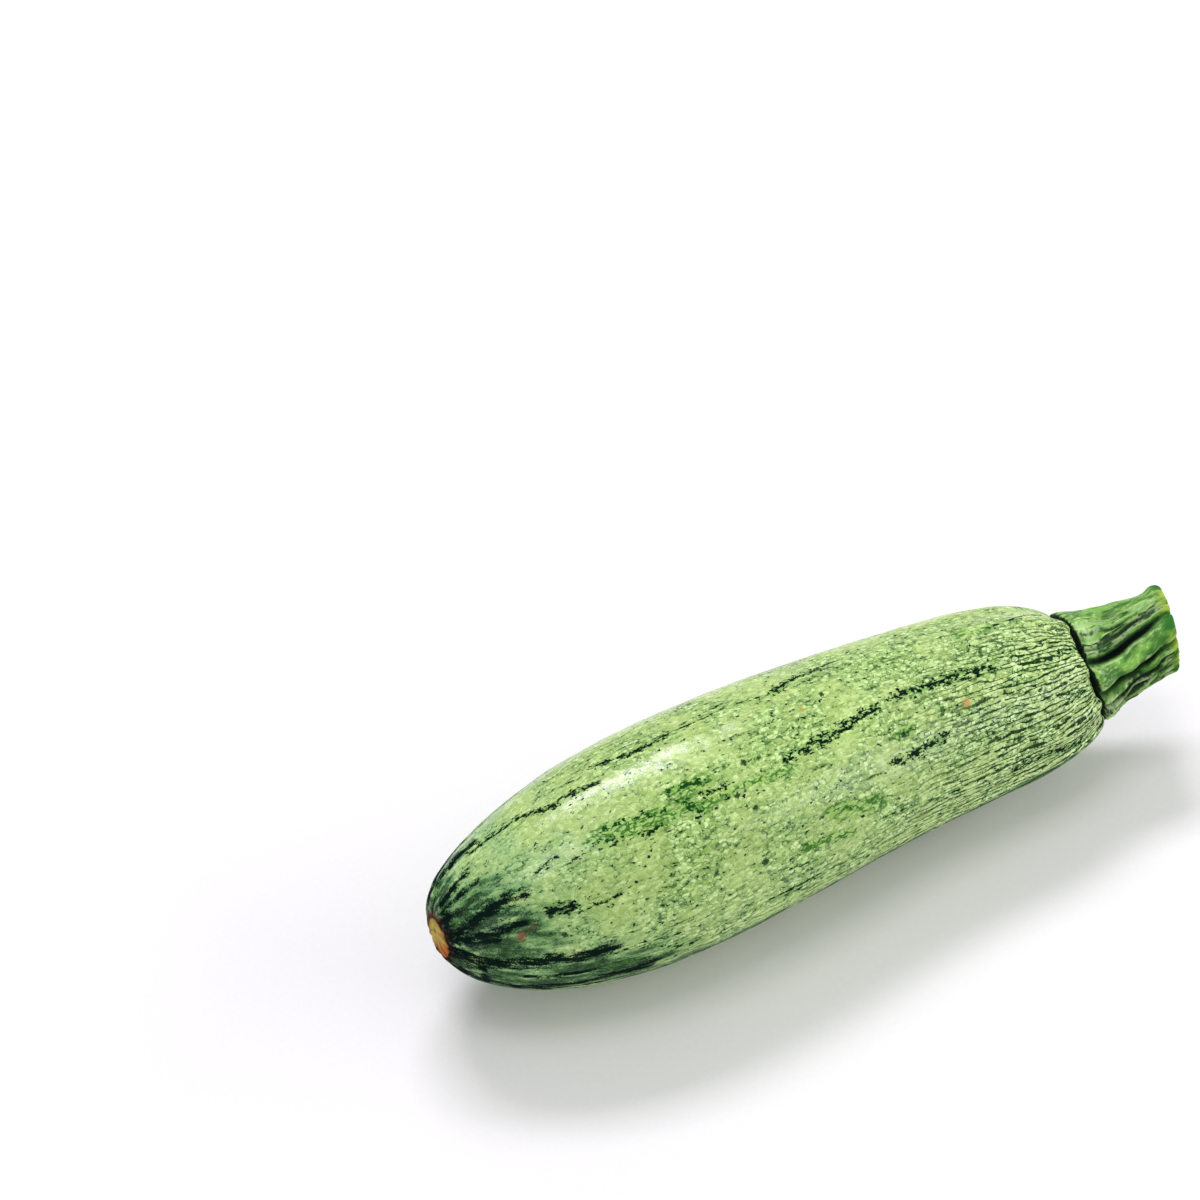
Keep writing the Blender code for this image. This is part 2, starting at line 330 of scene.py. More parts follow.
NETS = (
    (2.3, (122, 72), (131, 71), (140, 71), (150, 70)),
    (2.0, (90, 64), (105, 67), (116, 70)),
    (2.0, (114, 40), (123, 40), (131, 42)),
    (2.2, (148, 2), (158, 3), (168, -8)),
    (1.9, (30, 42), (36, 39)),
    (1.6, (20, 114), (33, 109), (41, 99), (52, 97)),
    (1.6, (54, 110), (62, 104), (72, 105)),
    (1.7, (97, 102), (104, 108), (112, 110)),
    (1.7, (70, 65), (76, 64)),
    (1.0, (45, 70), (48, 72), (54, 70), (61, 66)),
    (1.0, (44, 68), (50, 64), (56, 60), (60, 61)),
    (1.3, (63, 74), (68, 73), (72, 71)),
    (1.5, (65, 66), (68, 58)),
)
GREEN_PATCHES = (
    (4.0, (45, 70), (53, 67), (61, 64)),
    (2.6, (64, 73), (72, 71)),
    (3.2, (65, 66), (69, 59)),
    (3.5, (96, 29), (108, 24)),
    (3.0, (118, 51), (121, 52)),
    (1.5, (145, 98), (153, 97)),
    (2.0, (62, 62), (90, 60)),
    (2.0, (88, 19), (100, 15)),
)
DOTS = (
    (1.5, (77.5, 22)), (1.2, (119.5, 51)), (1.1, (76.5, 58)), (1.2, (81.5, 71)), (0.9, (85, 70)),
    (1.1, (79, 49)), (1.0, (82.5, 124)), (1.0, (106.5, 89)), (0.9, (143, 33)), (1.2, (150, 23)),
    (0.9, (149, 53)), (1.1, (32, 24)), (1.0, (30, 38)), (1.0, (66, 28)), (0.9, (93, 30)),
)
RUSTY_SPOTS = ((1.6, (138.4, 55)), (1.7, (23.2, 28)), (0.8, (26, 33)), (0.8, (100, 85)))
SMEARS_AND_UNDERSIDE_SHADE = (
    (2.0, (9, 28), (17, 33), (24, 38)),
    (2.2, (8, 36), (13, 46), (17, 54)),
    (2.6, (16, 53), (21, 57), (26, 56)),
    (3.2, (7, 0), (13, -3), (22, 4), (31, 6), (42, 8)),
    (1.4, (24, -12), (38, -8)),
    (2.6, (12, 6), (15, -12), (17, -34)),
    # This one runs along the lower edge: partly dark skin, partly painted shade.
    (3.2, (9, -40), (20, -33), (31, -24), (40, -18), (50, -15)),
    (1.8, (8, 92), (17, 96)),
    (1.2, (10, 80), (18, 82)),
    (1.6, (11, 130), (15, 124), (23, 121)),
    (1.8, (7, 24), (18, 27)),
    (1.6, (30, 41), (35, 40)),
    (3.0, (7, 80), (7, 30)),
)
DEEP_GREEN_AND_UNDERSIDE_SHADE = (
    (17, (6, 30), (20, 26)),
    (14, (6, -22), (34, -15), (50, -20)),
    (12, (6, 62), (15, 60)),
    (8, (6, 96), (10, 100)),
    # These three bands along the underside are partly deep green skin, partly painted shade of the lower edge.
    (5, (50, -24), (82, -26)),
    (4, (96, -28), (124, -27)),
    (4, (138, -25), (165, -24)),
)


def nearness(half_width, *places):
    """1 on a line drawn on the skin through the given places, 0 at its half width."""
    closest = np.full_like(fruit_along, 1e6)
    for start, stop in zip(places, places[1:] or places):
        run = stop[0] - start[0]
        turn = math.radians(stop[1] - start[1]) * fruit_radius
        ahead = fruit_along - start[0]
        aside = np.angle(np.exp(1j * (fruit_angle - math.radians(start[1])))) * fruit_radius
        share = np.clip((ahead * run + aside * turn) / np.maximum(run * run + turn * turn, 1e-6), 0, 1)
        closest = np.minimum(closest, np.hypot(ahead - share * run, aside - share * turn))
    return np.clip(1 - closest / half_width, 0, 1)


def painted(marks):
    """All marks of one kind in one mask."""
    mask = np.zeros_like(fruit_along)
    for half_width, *places in marks:
        mask = np.maximum(mask, nearness(half_width, *places))
    return mask


# The side that lies away has marks of the same kinds, each streak in a valley between two ribs.
HIDDEN_VALLEYS = range(4, 10)
VALLEY_PHASE = 2
LAST_MARK_AT = 165
LONGEST_STREAK = 34
HIDDEN_DOTS = 26
draw = random.Random(11)
hidden = {"line": [], "net": [], "patch": [], "dot": [], "smear": [], "deep": []}
for valley_number in HIDDEN_VALLEYS:
    degrees = 360 / RIBS * valley_number + VALLEY_PHASE
    place = draw.uniform(22, 34)
    while place < LAST_MARK_AT:
        length = draw.uniform(6, LONGEST_STREAK)
        bend = draw.uniform(-3, 3)
        stroke = ((place, degrees + bend), (place + length / 2, degrees), (place + length, degrees - bend))
        if draw.random() < 0.7:
            hidden["line"].append((draw.uniform(0.6, 0.9), *stroke))
        if draw.random() < 0.5:
            hidden["net"].append((draw.uniform(1.6, 2.6), *stroke))
        if draw.random() < 0.3:
            hidden["patch"].append((draw.uniform(3, 5), stroke[0], stroke[1]))
        place += length + draw.uniform(3, 18)
    hidden["smear"].append((draw.uniform(1.8, 2.8), (7, degrees), (draw.uniform(16, 34), degrees + bend)))
    hidden["deep"].append((draw.uniform(9, 14), (8, degrees), (draw.uniform(12, 28), degrees)))
for _ in range(HIDDEN_DOTS):
    hidden["dot"].append((draw.uniform(0.9, 1.3), (draw.uniform(25, 160), draw.uniform(130, 330))))

# The scar's dry middle is round and lies a little to the front of the tip and below it: 1 at its edge.
SCAR_RADIUS = 4.4
SCAR_MIDDLE = (1.3, -1.2)
scar_front = fruit_along * np.cos(fruit_angle) - SCAR_MIDDLE[0]
scar_up = fruit_along * np.sin(fruit_angle) - SCAR_MIDDLE[1]

# Coordinates that follow the skin, in millimetres round and along. They narrow less than the fruit's ends do.
WIDEST = 26
girth = WIDEST * (np.maximum(fruit_radius, 0.2) / WIDEST) ** 0.6
skin_place = np.stack((girth * np.cos(fruit_angle), girth * np.sin(fruit_angle), fruit_along), axis=1)
write_attribute(fruit, "skin", skin_place)
write_attribute(fruit, "line", painted((*LINES_AND_UNDERSIDE_SHADE, *hidden["line"])))
write_attribute(fruit, "net", painted((*NETS, *hidden["net"])))
write_attribute(fruit, "patch", painted((*GREEN_PATCHES, *hidden["patch"])))
write_attribute(fruit, "dot", painted((*DOTS, *hidden["dot"])))
write_attribute(fruit, "smear", painted((*SMEARS_AND_UNDERSIDE_SHADE, *hidden["smear"])))
write_attribute(fruit, "deep", painted((*DEEP_GREEN_AND_UNDERSIDE_SHADE, *hidden["deep"])))
write_attribute(fruit, "rust", painted(RUSTY_SPOTS))
write_attribute(fruit, "fold", fold)
write_attribute(fruit, "row_share", row_share)
write_attribute(fruit, "scar", np.hypot(scar_front, scar_up) / SCAR_RADIUS)


def add_node(tree, kind, inputs, **settings):
    """Adds a node, sets its options, and fills its inputs with values or with other nodes' outputs."""
    made = tree.nodes.new("ShaderNode" + kind)
    for name, value in settings.items():
        setattr(made, name, value)
    for name, value in inputs.items():
        if isinstance(value, bpy.types.NodeSocket):
            tree.links.new(value, made.inputs[name])
        else:
            made.inputs[name].default_value = value
    return made


def read_attribute(tree, name, output="Fac"):
    return add_node(tree, "Attribute", {}, attribute_name=name).outputs[output]


def maths(tree, operation, first, second):
    return add_node(tree, "Math", {0: first, 1: second}, operation=operation).outputs[0]


def centred(tree, value, scale):
    """A value about 0.5 made a value about 0, this many times as strong."""
    return add_node(tree, "Math", {0: value, 1: scale, 2: -0.5 * scale}, operation="MULTIPLY_ADD").outputs[0]


def product(tree, first, *others):
    for other in others:
        first = maths(tree, "MULTIPLY", first, other)
    return first


def ramped(tree, value, start, stop):
    """0 where the value is at start, 1 where it is at stop, and smooth between them."""
    inputs = {"Value": value, "From Min": start, "From Max": stop}
    return add_node(tree, "MapRange", inputs, interpolation_type="SMOOTHSTEP").outputs["Result"]


def stretched(tree, vector, scale):
    return add_node(tree, "VectorMath", {0: vector, 1: scale}, operation="MULTIPLY").outputs[0]


def cloudy(tree, vector, scale, detail=2.0):
    """Soft noise about 0.5."""
    return add_node(tree, "TexNoise", {"Vector": vector, "Scale": scale, "Detail": detail}).outputs["Fac"]


def coated(tree, amount, below, above):
    """One colour over another, by an amount from 0 to 1."""
    below = (*below, 1) if isinstance(below, tuple) else below
    above = (*above, 1) if isinstance(above, tuple) else above
    return add_node(tree, "Mix", {0: amount, 6: below, 7: above}, data_type="RGBA").outputs[2]


def new_material(name):
    """A material with its node tree and its shader."""
    material = bpy.data.materials.new(name)
    material.use_nodes = True
    return material, material.node_tree, material.node_tree.nodes["Principled BSDF"]


# Rows of dark dashes near the stem, counted round the fruit.
ROWS = 105

# Colours of the skin, of its marks, and of the dry scar.
CELL_DARK = (0.21, 0.35, 0.08)
CELL_PALE = (0.42, 0.60, 0.20)
CELL_BRIGHT = (0.57, 0.73, 0.33)
BETWEEN_ROWS = (0.22, 0.37, 0.09)
PALE_AT_STEM = (0.60, 0.80, 0.38)
FLECK = (0.58, 0.76, 0.36)
FLECK_AT_STEM = (0.74, 0.89, 0.48)
OLIVE = (0.44, 0.56, 0.18)
COOL = (0.27, 0.48, 0.22)
DEEP = (0.10, 0.27, 0.10)
DEEPEST = (0.005, 0.026, 0.013)
PATCH = (0.20, 0.44, 0.05)
THREAD = (0.02, 0.12, 0.014)
NET = (0.08, 0.20, 0.035)
NET_CORNER = (0.03, 0.10, 0.015)
ROW_DASH = (0.010, 0.035, 0.010)
BLACK_GREEN = (0.002, 0.011, 0.006)
SCALE_IN_PATCH = (0.008, 0.055, 0.009)
FRINGE = (0.10, 0.30, 0.05)
DOT = (0.01, 0.045, 0.01)
RUST = (0.46, 0.19, 0.04)
RUST_AT_BLOSSOM = (0.22, 0.055, 0.035)
SMEAR = (0.002, 0.010, 0.007)
FOLD = (0.002, 0.008, 0.006)
RING = (0.02, 0.008, 0.008)
RING_RED = (0.09, 0.009, 0.018)
CORK = (0.62, 0.46, 0.12)
CORK_EDGE = (0.40, 0.15, 0.03)
CORK_SHADE = (0.22, 0.16, 0.03)
CORK_RED = (0.45, 0.10, 0.03)
CORK_GREEN = (0.36, 0.40, 0.07)
CORK_CRACK = (0.10, 0.04, 0.015)


def skin_material():
    material, tree, shader = new_material("waxy_skin")
    skin = read_attribute(tree, "skin", "Vector")
    row_share = read_attribute(tree, "row_share")

    # Cells: about 0.8 mm wide and 1.2 mm long, wandering a little, some paler than others.
    wander = add_node(tree, "TexNoise", {"Vector": skin, "Scale": 0.7, "Detail": 2.0}).outputs["Color"]
    inputs = {0: wander, 1: (1.3, 1.3, 1.3), 2: skin}
    wandered = add_node(tree, "VectorMath", inputs, operation="MULTIPLY_ADD").outputs[0]
    cell_place = stretched(tree, wandered, (1.25, 1.25, 0.85))
    cell = add_node(tree, "TexVoronoi", {"Vector": cell_place, "Scale": 1.0})
    edge = add_node(tree, "TexVoronoi", {"Vector": cell_place, "Scale": 1.0}, feature="DISTANCE_TO_EDGE")
    edge = edge.outputs["Distance"]
    tone = add_node(tree, "SeparateColor", {0: cell.outputs["Color"]}).outputs[0]
    scale = add_node(tree, "TexVoronoi", {"Vector": stretched(tree, wandered, (2.4, 2.4, 1.5)), "Scale": 1.0})
    scale_tone = add_node(tree, "SeparateColor", {0: scale.outputs["Color"]}).outputs[0]
    patchy = cloudy(tree, skin, 0.10)
    breaks = cloudy(tree, stretched(tree, skin, (1.0, 1.0, 0.5)), 1.1)
    grain = cloudy(tree, skin, 2.8, 3.0)
    streak = cloudy(tree, stretched(tree, skin, (1.0, 1.0, 0.12)), 0.8, 3.0)
    blotch = centred(tree, cloudy(tree, stretched(tree, skin, (1.0, 1.0, 0.3)), 0.36), 2.6)
    ragged = centred(tree, grain, 1.6)
    streaky = centred(tree, streak, 2.0)

    # The net shows most near the stem, and comes and goes elsewhere.
    shown = product(tree, ramped(tree, patchy, 0.3, 0.7), 0.95)
    shown = maths(tree, "ADD", product(tree, row_share, 0.7), shown)
    net = product(tree, ramped(tree, edge, 0.15, 0.04), ramped(tree, breaks, 0.38, 0.58), shown)
    corner = product(tree, ramped(tree, cell.outputs["Distance"], 0.5, 0.75), ramped(tree, breaks, 0.46, 0.6))
    corner = product(tree, corner, shown)

    # The rows: wavy dashes that run along the fruit.
    place = add_node(tree, "SeparateXYZ", {0: skin})
    across, upward, along = (place.outputs[axis] for axis in "XYZ")
    turn = maths(tree, "ARCTAN2", upward, across)
    bends = centred(tree, cloudy(tree, stretched(tree, skin, (1.0, 1.0, 0.2)), 0.45), 16.0)
    bends = maths(tree, "ADD", bends, centred(tree, breaks, 3.0))
    row = add_node(tree, "Math", {0: turn, 1: float(ROWS), 2: bends}, operation="MULTIPLY_ADD").outputs[0]
    row = maths(tree, "ADD", maths(tree, "SINE", row, 0.0), centred(tree, grain, 0.8))
    row = maths(tree, "ADD", row, product(tree, ramped(tree, along, 150.0, 176.0), 0.28))
    row_shown = product(tree, ramped(tree, row_share, 0.1, 0.75), ramped(tree, breaks, 0.28, 0.44))
    row_line = product(tree, ramped(tree, row, 0.58, 0.84), row_shown)

    # Dark and pale cells with bright grains, paler cells and flecks near the stem, and an olive tinge.
    colour = coated(tree, ramped(tree, tone, 0.1, 0.9), CELL_DARK, CELL_PALE)
    colour = coated(tree, ramped(tree, grain, 0.52, 0.70), colour, CELL_BRIGHT)
    colour = coated(tree, product(tree, ramped(tree, row, 0.2, 0.9), 0.4), colour, BETWEEN_ROWS)
    colour = coated(tree, product(tree, row_share, ramped(tree, tone, 0.0, 0.6), 0.8), colour, PALE_AT_STEM)
    fleck = product(tree, ramped(tree, tone, 0.6, 0.85), ramped(tree, edge, 0.10, 0.28))
    fleck = product(tree, fleck, ramped(tree, breaks, 0.6, 0.45))
    colour = coated(tree, fleck, colour, coated(tree, row_share, FLECK, FLECK_AT_STEM))
    colour = coated(tree, product(tree, ramped(tree, patchy, 0.6, 0.4), 0.35), colour, OLIVE)

    # The blossom end is cooler and deep green, with patches of greener net further on.
    cool = product(tree, ramped(tree, along, 60.0, 15.0), ramped(tree, patchy, 0.3, 0.6), 0.6)
    colour = coated(tree, cool, colour, COOL)
    # The deep mask also holds bands along the underside that are partly painted shade of the lower edge.
    deep_zone = read_attribute(tree, "deep")
    mixed = maths(tree, "ADD", blotch, product(tree, streaky, 0.6))
    mixed = maths(tree, "ADD", deep_zone, product(tree, mixed, ramped(tree, deep_zone, 0.0, 0.35)))
    deep = ramped(tree, mixed, 0.0, 0.8)
    colour = coated(tree, product(tree, deep, 0.85), colour, DEEP)
    deeper = ramped(tree, maths(tree, "ADD", mixed, product(tree, ragged, 0.7)), 0.45, 0.95)
    colour = coated(tree, product(tree, deeper, 0.9), colour, DEEPEST)
    patch = ramped(tree, maths(tree, "ADD", read_attribute(tree, "patch"), streaky), 0.1, 0.8)
    colour = coated(tree, product(tree, patch, 0.4), colour, PATCH)
    loose_place = stretched(tree, wandered, (0.8, 0.8, 0.45))
    loose = add_node(tree, "TexVoronoi", {"Vector": loose_place, "Scale": 1.0}, feature="DISTANCE_TO_EDGE")
    loose = maths(tree, "ADD", loose.outputs["Distance"], centred(tree, grain, 0.16))
    thread = product(tree, patch, ramped(tree, loose, 0.17, 0.07), ramped(tree, breaks, 0.34, 0.48))
    colour = coated(tree, product(tree, thread, 0.9), colour, THREAD)
    colour = coated(tree, product(tree, net, 0.85), colour, NET)
    colour = coated(tree, product(tree, corner, 0.95), colour, NET_CORNER)
    colour = coated(tree, row_line, colour, ROW_DASH)

    # Black-green streaks: clusters of dark scales in a green fringe, and thin ragged lines.
    net_zone = product(tree, read_attribute(tree, "net"), 0.85)
    net_zone = maths(tree, "ADD", net_zone, centred(tree, breaks, 2.0))
    # The line mask also holds two lines along the underside that are partly painted shade of the lower edge.
    line_zone = maths(tree, "ADD", read_attribute(tree, "line"), centred(tree, breaks, 2.0))
    fringe = ramped(tree, maths(tree, "MAXIMUM", line_zone, net_zone), 0.1, 0.8)
    colour = coated(tree, product(tree, fringe, 0.55), colour, FRINGE)
    dark_scale = ramped(tree, maths(tree, "SUBTRACT", net_zone, scale_tone), 0.05, 0.2)
    colour = coated(tree, dark_scale, colour, coated(tree, patch, BLACK_GREEN, SCALE_IN_PATCH))
    line = ramped(tree, maths(tree, "ADD", line_zone, ragged), 0.60, 0.80)
    colour = coated(tree, line, colour, BLACK_GREEN)
    dot = maths(tree, "ADD", read_attribute(tree, "dot"), product(tree, ragged, 0.7))
    colour = coated(tree, ramped(tree, dot, 0.25, 0.5), colour, DOT)
    rust = maths(tree, "ADD", read_attribute(tree, "rust"), product(tree, ragged, 0.8))
    rust_colour = coated(tree, ramped(tree, along, 60.0, 50.0), RUST, RUST_AT_BLOSSOM)
    colour = coated(tree, product(tree, ramped(tree, rust, 0.15, 0.7), 0.8), colour, rust_colour)

    # Dark smears and folds at the blossom end, and the dry scar.
    # The smear mask also holds one smear along the lower edge that is partly painted shade.
    smear_zone = maths(tree, "ADD", read_attribute(tree, "smear"), product(tree, streaky, 1.1))
    smear = ramped(tree, maths(tree, "ADD", smear_zone, product(tree, ragged, 0.8)), 0.3, 0.8)
    colour = coated(tree, smear, colour, SMEAR)
    fold_mark = maths(tree, "ADD", read_attribute(tree, "fold"), product(tree, ragged, 0.6))
    fold_mark = ramped(tree, fold_mark, 0.3, 0.8)
    colour = coated(tree, fold_mark, colour, FOLD)
    scar_edge = maths(tree, "ADD", read_attribute(tree, "scar"), centred(tree, breaks, 0.2))
    scar_edge = maths(tree, "ADD", scar_edge, product(tree, blotch, 0.08))
    ring = ramped(tree, scar_edge, 1.6, 1.15)
    low = maths(tree, "SUBTRACT", across, upward)
    ring_colour = coated(tree, ramped(tree, low, -4.0, -8.0), RING, RING_RED)
    colour = coated(tree, product(tree, ring, 0.9), colour, ring_colour)
    scar = ramped(tree, scar_edge, 1.08, 0.98)
    cork_colour = coated(tree, ramped(tree, scar_edge, 0.75, 1.05), CORK, CORK_EDGE)
    cork_colour = coated(tree, product(tree, ramped(tree, grain, 0.60, 0.35), 0.8), cork_colour, CORK_SHADE)
    low = maths(tree, "ADD", low, product(tree, ragged, 2.5))
    cork_colour = coated(tree, product(tree, ramped(tree, low, 6.5, 13.0), 0.8), cork_colour, CORK_RED)
    cork_colour = coated(tree, product(tree, ramped(tree, low, -4.0, -9.0), 0.7), cork_colour, CORK_GREEN)

    # Cracks run out like spokes from the scar's middle, where the place along the skin is the distance from it.
    spoke = stretched(tree, skin, (1.0, 1.0, 0.0))
    spoke = add_node(tree, "VectorMath", {0: spoke}, operation="NORMALIZE").outputs[0]
    spoke = ramped(tree, cloudy(tree, spoke, 5.0, 3.0), 0.52, 0.34)
    crack = product(tree, spoke, ramped(tree, along, 0.8, 2.4))
    crack = maths(tree, "MAXIMUM", crack, ramped(tree, along, 0.9, 0.4))
    cork_colour = coated(tree, product(tree, crack, 0.55), cork_colour, CORK_CRACK)
    colour = coated(tree, scar, colour, cork_colour)

    # The wax is thin where the skin is dark or puckered, and all but gone from the scar.
    dull = product(tree, deeper, 0.6)
    for mark in (ring, smear, fold_mark, line, dark_scale, product(tree, row_line, 0.9), thread):
        dull = maths(tree, "MAXIMUM", dull, mark)
    wax = add_node(tree, "MapRange", {"Value": dull, "To Min": 1.0, "To Max": 0.06}).outputs["Result"]
    worn = add_node(tree, "MapRange", {"Value": ramped(tree, breaks, 0.36, 0.58), "To Min": 0.25})
    wax = product(tree, wax, worn.outputs["Result"])
    roughness = add_node(tree, "MapRange", {"Value": scar, "To Min": 0.42, "To Max": 1.0}).outputs["Result"]
    tree.links.new(wax, shader.inputs["Coat Weight"])
    height = maths(tree, "ADD", ramped(tree, edge, 0.0, 0.4), product(tree, grain, 0.6))
    bump = add_node(tree, "Bump", {"Height": height, "Distance": 0.00006, "Strength": 1.0}).outputs["Normal"]
    tree.links.new(colour, shader.inputs["Base Color"])
    tree.links.new(roughness, shader.inputs["Roughness"])
    tree.links.new(bump, shader.inputs["Normal"])
    shader.inputs["Specular IOR Level"].default_value = 0.0
    shader.inputs["Coat Roughness"].default_value = 0.23
    return material


fruit.data.materials.append(skin_material())
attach(fruit, "root")
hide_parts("fruit")

# The stem: tough and fibrous, with five ridges between deep furrows that twist a little on their way from the
# fruit. It was cut through with a knife, so it ends in a pale face with a sunken pith.

STEM_FOOT_OUTLINE = ((-1.05, 0.0), (-1.05, 6.0), (-1.0, 10.2), (-0.55, 12.3))
STEM_OUTLINE = (
    (-0.15, 14.0), (1.4, 13.9), (4.5, 12.9), (8, 11.9), (12, 11.3), (17, 10.4), (21, 9.9), (22.9, 9.9),
)
STEM_RIM_OUTLINE = ((23.7, 9.3), (23.6, 8.2), (23.0, 6.6), (22.7, 3.4), (21.5, 2.0), (20.9, 0.0))
STEM_LENGTH = 23.7
STEM_COLUMNS = 60
STEM_RING_SPACING = 1.0
STEM_BEND_UP = math.radians(10)
STEM_TWIST = math.radians(22)
WANDER = math.radians(7)
WANDER_WIDTH = 6.0

# Furrows at the foot: degrees, depth as a share of the radius, half width. A negative depth is a swelling.
FURROWS = (
    (15, 0.34, 4), (53, 0.38, 6), (69, 0.14, 3), (79, 0.13, 3), (90, 0.10, 3), (128, -0.04, 22),
    (145, 0.22, 9), (181, 0.14, 9), (216, 0.34, 11), (256, 0.15, 9), (297, 0.30, 10), (320, 0.08, 18),
    (331, 0.18, 3), (342, 0.20, 3), (352, 0.20, 3), (2, 0.20, 3),
)

# Painted shade in the thin furrows and in a wide band along the lower side, thinner towards the cut, and
# the place on the rim that is still deep green: degrees, half width. Reaches are shares of the stem's length.
WRINKLE_AND_UNDERSIDE_SHADES = ((322, 9), (342, 3.5), (352, 4.5), (2, 4.5), (17, 3), (66, 2), (74, 1.5))
WRINKLE_SHADE_REACH = 1.6
GREEN_RIM = (38, 17)
GREEN_RIM_FROM = 0.74
GREEN_RIM_REACH = 0.22

# The cut slants, and each furrow notches its rim. The rim has one knob, on a place that is trimmed back:
# degrees and half width, then millimetres.
CUT_SLOPE = 0.25
CUT_LONGEST_AT = math.radians(137)
NOTCH_DEPTH = 0.6
KNOB = (134, 12)
KNOB_HEIGHT = 1.6
KNOB_REACH = 1.5
KNOB_FROM_RIM = 1.3
KNOB_STEEPNESS = 2.2
RIM_TRIM = (136, 30)
RIM_TRIM_DEPTH = 0.7
RIM_TRIM_REACH = 1.6
FACE_RADIUS = 9.4
FACE_EDGE = 1.5

# Fine flutes run with the fibres, outside these two radii, and low bumps lie there too. Two ridges are smooth:
# degrees, half width, share of the flutes that is missing.
FLUTE_GIRTH = 12
FLUTE_WIDTH = 1.4
FLUTE_LENGTH = 16
FLUTE_DEPTH = 0.55
FLUTE_LINE = 0.35
NO_FLUTES_INSIDE = 6
FLUTES_OUTSIDE = 9
SMOOTH_RIDGES = ((34, 16, 1.1), (118, 28, 0.95))
BUMP_HEIGHT = 0.25
BUMP_WIDTH = 3.0

stem_outline = np.vstack((
    STEM_FOOT_OUTLINE,
    smooth_path((*STEM_OUTLINE, STEM_RIM_OUTLINE[0]), lambda point: STEM_RING_SPACING),
    STEM_RIM_OUTLINE[1:],
))
stem = turned_piece("zucchini_stem", stem_outline, STEM_COLUMNS)
plain, outward, stem_along = read_values(stem)
distance = plain[:, 0]
angle = np.arctan2(plain[:, 2], -plain[:, 1])
radius = np.hypot(plain[:, 1], plain[:, 2])
share = np.clip(distance / STEM_LENGTH, 0, 1)
untwisted = angle - STEM_TWIST * share**1.7 + WANDER * lumps(plain, WANDER_WIDTH, 7)
depth_along = 0.55 + 0.45 * np.sin(np.pi * np.minimum(share * 1.15, 1))
cut = sum(depth * bell(untwisted, degrees, half_width) for degrees, depth, half_width in FURROWS)
cut *= depth_along
from_axis = np.minimum(radius / STEM_OUTLINE[0][1], 1)
past_rim = distance - STEM_LENGTH
knob_share = bell(angle, *KNOB) * np.exp(-(((past_rim + KNOB_FROM_RIM) / KNOB_REACH) ** 2))
knob = KNOB_HEIGHT * np.tanh(KNOB_STEEPNESS * knob_share)
knob = knob - RIM_TRIM_DEPTH * bell(angle, *RIM_TRIM) * np.exp(-((past_rim / RIM_TRIM_REACH) ** 2))
ridged = radius * (1 - cut * from_axis) + knob * from_axis
lean = CUT_SLOPE * share**2 * ridged * np.cos(angle - CUT_LONGEST_AT)
notch = NOTCH_DEPTH * share**8 * cut * ridged / STEM_OUTLINE[-1][1]
rise = (1 - share) ** 2 * seat_rise(ridged, angle) + lean - notch

round_stem = np.stack((np.cos(untwisted), np.sin(untwisted)), axis=1) * FLUTE_GIRTH
flute = lumps(np.column_stack((round_stem / FLUTE_WIDTH, stem_along / FLUTE_LENGTH)), 1.0, 5)
on_side = np.clip((radius - NO_FLUTES_INSIDE) / (FLUTES_OUTSIDE - NO_FLUTES_INSIDE), 0, 1)
smooth = sum(missing * bell(untwisted, degrees, half_width) for degrees, half_width, missing in SMOOTH_RIDGES)
fluted = np.clip(1 - smooth, 0, 1)
ridged -= FLUTE_DEPTH * fluted * on_side * np.clip(1 - np.abs(flute) / FLUTE_LINE, 0, 1)
ridged += BUMP_HEIGHT * on_side * lumps(plain, BUMP_WIDTH, 6)

foot, front, up, ahead = (part[0] for part in fruit_frames(np.array([FRUIT_AXIS[-1][0]], float)))
tilt = STEM_BEND_UP * distance / STEM_LENGTH
base_up, base_ahead = np.sin(tilt / 2) * distance, np.cos(tilt / 2) * distance
side = ridged * np.cos(angle)
lift = ridged * np.sin(angle) * np.cos(tilt) + rise * np.sin(tilt) + base_up
advance = rise * np.cos(tilt) - ridged * np.sin(angle) * np.sin(tilt) + base_ahead
placed = foot + side[:, None] * front + lift[:, None] * up + advance[:, None] * ahead
write_points(stem, placed - np.array((*TIP_BEHIND_ORIGIN, 0)))

wrinkle_shade = sum(bell(untwisted, degrees, half_width) for degrees, half_width in WRINKLE_AND_UNDERSIDE_SHADES)
green_rim = bell(untwisted, *GREEN_RIM) * np.clip((share - GREEN_RIM_FROM) / GREEN_RIM_REACH, 0, 1)
cut_face = np.clip((FACE_RADIUS - radius) / FACE_EDGE, 0, 1) * (distance > STEM_LENGTH / 2)
write_attribute(stem, "skin", np.column_stack((round_stem, stem_along)))
write_attribute(stem, "wrinkle_shade", wrinkle_shade * np.clip(WRINKLE_SHADE_REACH - share, 0, 1))
write_attribute(stem, "furrow", np.maximum(cut, 0))
write_attribute(stem, "flute", flute)
write_attribute(stem, "fluted", fluted)
write_attribute(stem, "share", distance / STEM_LENGTH)
write_attribute(stem, "green", np.maximum(knob_share, green_rim))
write_attribute(stem, "face", cut_face)

